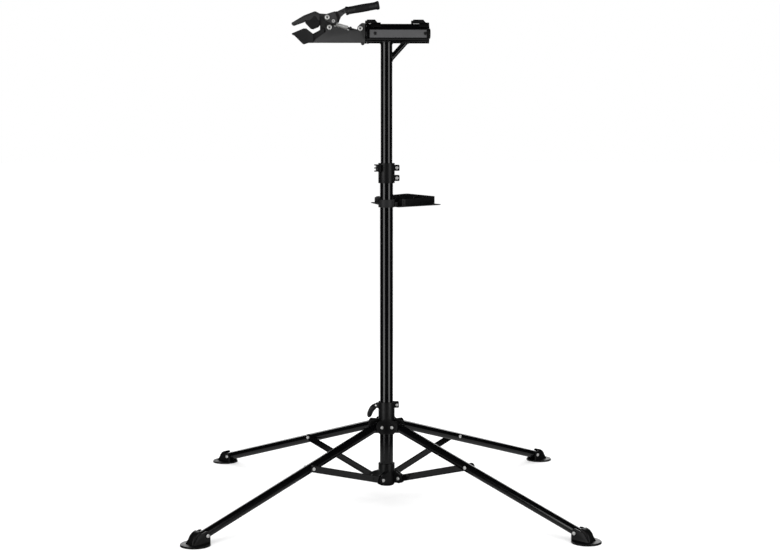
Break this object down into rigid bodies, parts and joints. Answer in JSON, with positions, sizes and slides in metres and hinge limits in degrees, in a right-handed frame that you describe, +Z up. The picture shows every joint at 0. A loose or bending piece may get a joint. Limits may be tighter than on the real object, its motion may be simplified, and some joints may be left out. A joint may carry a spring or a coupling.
{
  "type": "bike repair stand",
  "caption": "Folding bike repair stand: umbrella-style four-leg base, telescoping mast, tool tray, and a rotating head clamp with over-centre handle.",
  "frame": {"origin": "on the floor, under the mast axis, at the middle of the four feet", "axes": "+Z up the mast; +X along the head tube, away from the clamp jaws; -Y is the front"},
  "size_m": [1.0806, 1.0806, 1.424],
  "materials": {
    "black_gloss_paint": "gloss powder coat",
    "black_plastic": "satin moulded",
    "grey_black_paint": "satin powder coat",
    "satin_black_paint": "satin powder coat",
    "jaw_rubber": "matt moulded",
    "grip_rubber": "soft ribbed",
    "bright_fasteners": "bright zinc plated",
    "black_fasteners": "black oxide",
    "silver_steel": "turned"
  },
  "bodies": {
    "root": {"lower_mast_tube": "black_gloss_paint", "lower_hub": "black_plastic", "lower_hub_bolts": "bright_fasteners", "mast_collar": "black_plastic", "collar_bolt": "bright_fasteners", "collar_draw_bolt": "bright_fasteners"},
    "collar_lever": {"collar_lever": "black_plastic"},
    "upper_hub": {"upper_hub": "black_plastic", "upper_hub_bolts": "bright_fasteners", "hub_clamp_bolt": "bright_fasteners", "hub_lever_pin": "bright_fasteners"},
    "hub_lever": {"hub_lever": "black_plastic"},
    "upper_mast": {"upper_mast_tube": "black_gloss_paint", "upper_mast_plug": "black_plastic", "head_tube": "black_gloss_paint", "head_screws": "black_fasteners", "head_bushes": "black_plastic", "head_end_ring": "black_plastic", "head_front_collar": "black_gloss_paint", "head_strut": "black_gloss_paint", "latch_saddles": "black_plastic", "latch_pins": "black_fasteners"},
    "latch_left": {"latch_lever_left": "black_plastic"},
    "latch_right": {"latch_lever_right": "black_plastic"},
    "clamp_arm": {"arm_channel": "grey_black_paint", "arm_flange": "black_gloss_paint", "arm_shaft": "black_gloss_paint", "shaft_end_cap": "black_plastic", "arm_bolts": "bright_fasteners", "lower_jaw": "satin_black_paint", "lower_jaw_pad": "jaw_rubber"},
    "upper_jaw": {"upper_jaw": "satin_black_paint", "upper_jaw_pad": "jaw_rubber", "handle_bolt": "bright_fasteners"},
    "handle": {"handle": "grey_black_paint", "handle_grip": "grip_rubber", "handle_rivets": "bright_fasteners"},
    "link": {"link_eye": "grey_black_paint", "link_fork": "grey_black_paint", "link_lock_nut": "black_fasteners"},
    "adjuster": {"adjuster_barrel": "silver_steel"},
    "tray": {"tray_bracket": "satin_black_paint", "tray_box": "black_plastic", "tray_bolt": "black_fasteners"},
    "leg_front_left": {"leg_front_left": "black_gloss_paint", "leg_bolts_front_left": "bright_fasteners"},
    "brace_front_left": {"brace_front_left": "black_gloss_paint"},
    "foot_front_left": {"foot_front_left": "black_plastic"},
    "leg_front_right": {"leg_front_right": "black_gloss_paint", "leg_bolts_front_right": "bright_fasteners"},
    "brace_front_right": {"brace_front_right": "black_gloss_paint"},
    "foot_front_right": {"foot_front_right": "black_plastic"},
    "leg_back_right": {"leg_back_right": "black_gloss_paint", "leg_bolts_back_right": "bright_fasteners"},
    "brace_back_right": {"brace_back_right": "black_gloss_paint"},
    "foot_back_right": {"foot_back_right": "black_plastic"},
    "leg_back_left": {"leg_back_left": "black_gloss_paint", "leg_bolts_back_left": "bright_fasteners"},
    "brace_back_left": {"brace_back_left": "black_gloss_paint"},
    "foot_back_left": {"foot_back_left": "black_plastic"}
  },
  "joints": [
    {"name": "fold", "type": "hinge", "parent": "root", "child": "brace_front_left", "pos_m": [-0.02616, -0.02616, 0.0595], "axis": [-0.7071, 0.7071, 0], "range_deg": [0, 67]},
    {"name": "leg_front_left_swing", "type": "hinge", "parent": "brace_front_left", "child": "leg_front_left", "pos_m": [-0.21755, -0.21755, 0.135], "axis": [0.7071, -0.7071, 0], "range_deg": [0, 134]},
    {"name": "hub_rise", "type": "hinge", "parent": "leg_front_left", "child": "upper_hub", "pos_m": [-0.02616, -0.02616, 0.2105], "axis": [-0.7071, 0.7071, 0], "range_deg": [0, 67]},
    {"name": "leg_front_right_swing", "type": "hinge", "parent": "upper_hub", "child": "leg_front_right", "pos_m": [0.02616, -0.02616, 0.2105], "axis": [0.7071, 0.7071, 0], "range_deg": [0, 67]},
    {"name": "brace_front_right_swing", "type": "hinge", "parent": "root", "child": "brace_front_right", "pos_m": [0.02616, -0.02616, 0.0595], "axis": [-0.7071, -0.7071, 0], "range_deg": [0, 67]},
    {"name": "leg_back_right_swing", "type": "hinge", "parent": "upper_hub", "child": "leg_back_right", "pos_m": [0.02616, 0.02616, 0.2105], "axis": [-0.7071, 0.7071, 0], "range_deg": [0, 67]},
    {"name": "brace_back_right_swing", "type": "hinge", "parent": "root", "child": "brace_back_right", "pos_m": [0.02616, 0.02616, 0.0595], "axis": [0.7071, -0.7071, 0], "range_deg": [0, 67]},
    {"name": "leg_back_left_swing", "type": "hinge", "parent": "upper_hub", "child": "leg_back_left", "pos_m": [-0.02616, 0.02616, 0.2105], "axis": [-0.7071, -0.7071, 0], "range_deg": [0, 67]},
    {"name": "brace_back_left_swing", "type": "hinge", "parent": "root", "child": "brace_back_left", "pos_m": [-0.02616, 0.02616, 0.0595], "axis": [0.7071, 0.7071, 0], "range_deg": [0, 67]},
    {"name": "foot_front_left_tilt", "type": "hinge", "parent": "leg_front_left", "child": "foot_front_left", "pos_m": [-0.48225, -0.48225, 0.022], "axis": [-0.7071, 0.7071, 0], "range_deg": [-8, 70]},
    {"name": "foot_front_right_tilt", "type": "hinge", "parent": "leg_front_right", "child": "foot_front_right", "pos_m": [0.48225, -0.48225, 0.022], "axis": [-0.7071, -0.7071, 0], "range_deg": [-8, 70]},
    {"name": "foot_back_right_tilt", "type": "hinge", "parent": "leg_back_right", "child": "foot_back_right", "pos_m": [0.48225, 0.48225, 0.022], "axis": [0.7071, -0.7071, 0], "range_deg": [-8, 70]},
    {"name": "foot_back_left_tilt", "type": "hinge", "parent": "leg_back_left", "child": "foot_back_left", "pos_m": [-0.48225, 0.48225, 0.022], "axis": [0.7071, 0.7071, 0], "range_deg": [-8, 70]},
    {"name": "hub_lever_open", "type": "hinge", "parent": "upper_hub", "child": "hub_lever", "pos_m": [-0.02821, 0.00863, 0.268], "axis": [0.2924, 0.9563, 0], "range_deg": [0, 80]},
    {"name": "collar_lever_open", "type": "hinge", "parent": "root", "child": "collar_lever", "pos_m": [0.0295, 0.0164, 0.9505], "axis": [0, 0, -1], "range_deg": [0, 140]},
    {"name": "mast_height", "type": "slide", "parent": "root", "child": "upper_mast", "axis": [0, 0, 1], "range_m": [-0.25, 0.3]},
    {"name": "tray_height", "type": "slide", "parent": "root", "child": "tray", "axis": [0, 0, 1], "range_m": [-0.13, 0.035]},
    {"name": "clamp_spin", "type": "hinge", "parent": "upper_mast", "child": "clamp_arm", "pos_m": [0, 0, 1.3315], "axis": [1, 0, 0], "continuous": true},
    {"name": "latch_left_open", "type": "hinge", "parent": "upper_mast", "child": "latch_left", "pos_m": [-0.04315, 0.008, 1.3648], "axis": [-1, 0, 0], "range_deg": [0, 60]},
    {"name": "latch_right_open", "type": "hinge", "parent": "upper_mast", "child": "latch_right", "pos_m": [0.09075, 0.008, 1.3648], "axis": [-1, 0, 0], "range_deg": [0, 60]},
    {"name": "jaw_open", "type": "hinge", "parent": "clamp_arm", "child": "upper_jaw", "pos_m": [-0.1617, 0, 1.348], "axis": [0, 1, 0], "range_deg": [0, 23]},
    {"name": "handle_lift", "type": "hinge", "parent": "upper_jaw", "child": "handle", "pos_m": [-0.1679, 0, 1.3762], "axis": [0, -1, 0], "range_deg": [0, 90]},
    {"name": "link_swing", "type": "hinge", "parent": "clamp_arm", "child": "link", "pos_m": [-0.0746, 0, 1.3448], "axis": [0, 1, 0], "range_deg": [0, 19]},
    {"name": "adjuster_spin", "type": "hinge", "parent": "link", "child": "adjuster", "pos_m": [-0.12666, 0, 1.35163], "axis": [0.9638, 0, -0.2667], "continuous": true}
  ],
  "couplings": [
    {"joint": "leg_front_left_swing", "follows": "fold", "ratio": 2},
    {"joint": "hub_rise", "follows": "fold", "ratio": 1},
    {"joint": "leg_front_right_swing", "follows": "fold", "ratio": 1},
    {"joint": "brace_front_right_swing", "follows": "fold", "ratio": 1},
    {"joint": "leg_back_right_swing", "follows": "fold", "ratio": 1},
    {"joint": "brace_back_right_swing", "follows": "fold", "ratio": 1},
    {"joint": "leg_back_left_swing", "follows": "fold", "ratio": 1},
    {"joint": "brace_back_left_swing", "follows": "fold", "ratio": 1},
    {"joint": "jaw_open", "follows": "handle_lift", "ratio": 0.2531},
    {"joint": "link_swing", "follows": "handle_lift", "ratio": 0.2018}
  ]
}
